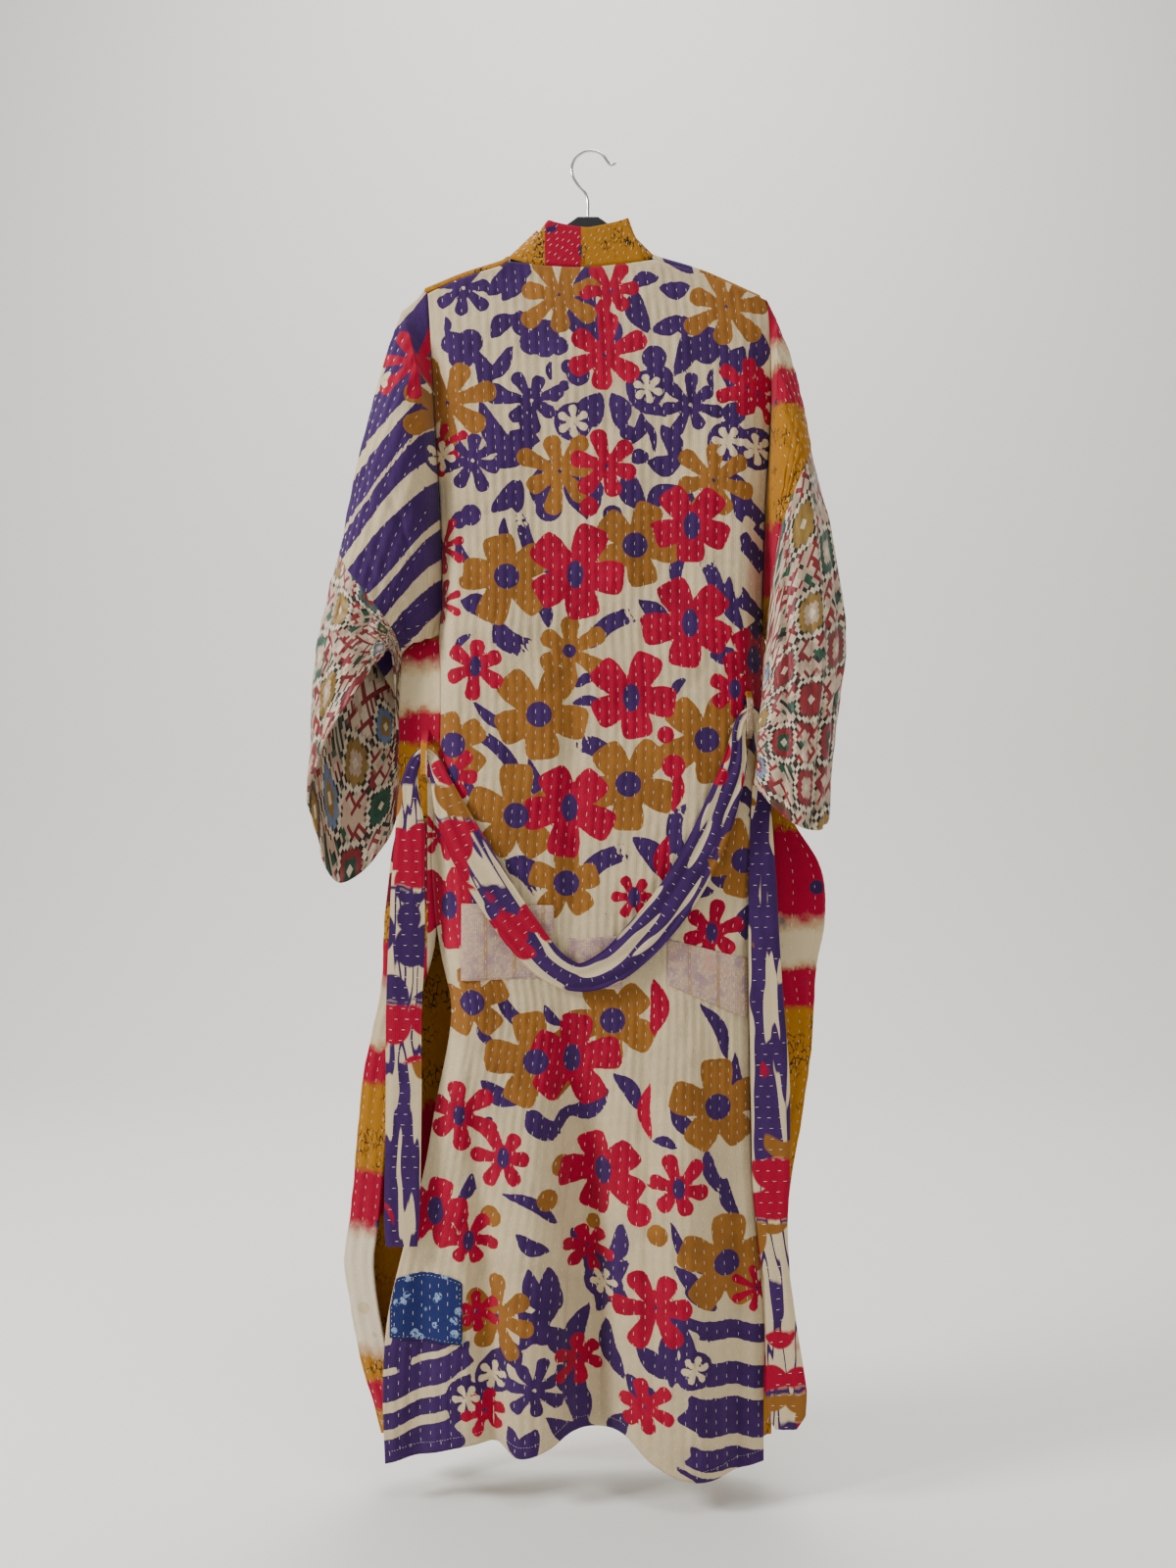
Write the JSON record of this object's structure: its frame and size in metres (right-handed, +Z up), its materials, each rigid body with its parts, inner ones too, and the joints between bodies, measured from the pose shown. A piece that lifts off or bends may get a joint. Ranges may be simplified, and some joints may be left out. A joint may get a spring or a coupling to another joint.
{
  "type": "kimono robe on a hanger",
  "caption": "Long open-front patchwork robe of kimono cut on a slim hanger: wide sleeves, neckband, side slits, and a belt hung as a swag over its back.",
  "frame": {"origin": "the seat inside the top of the hanger's hook, where a peg or rail holds it", "axes": "+Z up; the garment's back faces -Y; +X to the right as its back is seen"},
  "size_m": [0.6232, 0.1445, 1.5247],
  "materials": {
    "printed_cotton": "quilted printed cotton, matte, rows of running stitch",
    "fern_cotton": "printed cotton in gold, crimson and black, matte",
    "printed_silk": "thin crinkled printed silk, soft sheen",
    "belt_cotton": "folded printed cotton strip, matte",
    "patch_cotton": "faded patch cotton, matte",
    "blue_patch_cotton": "dark blue printed cotton, matte",
    "hanger_flock": "black flocked plastic, matte",
    "hook_chrome": "polished wire"
  },
  "bodies": {
    "root": {"back_panel": "printed_cotton", "front_left_panel": "fern_cotton", "front_right_panel": "fern_cotton", "sleeve_left_upper": "printed_cotton", "sleeve_left_lower": "printed_silk", "sleeve_right_upper": "printed_cotton", "sleeve_right_lower": "printed_silk", "neckband": "fern_cotton", "belt": "belt_cotton", "belt_loop_left": "fern_cotton", "belt_loop_right": "fern_cotton", "patch_pale_left": "patch_cotton", "patch_pale_center": "patch_cotton", "patch_mauve_right": "patch_cotton", "patch_blue_left": "blue_patch_cotton", "hanger_arms": "hanger_flock", "hanger_hook": "hook_chrome"}
  },
  "joints": []
}
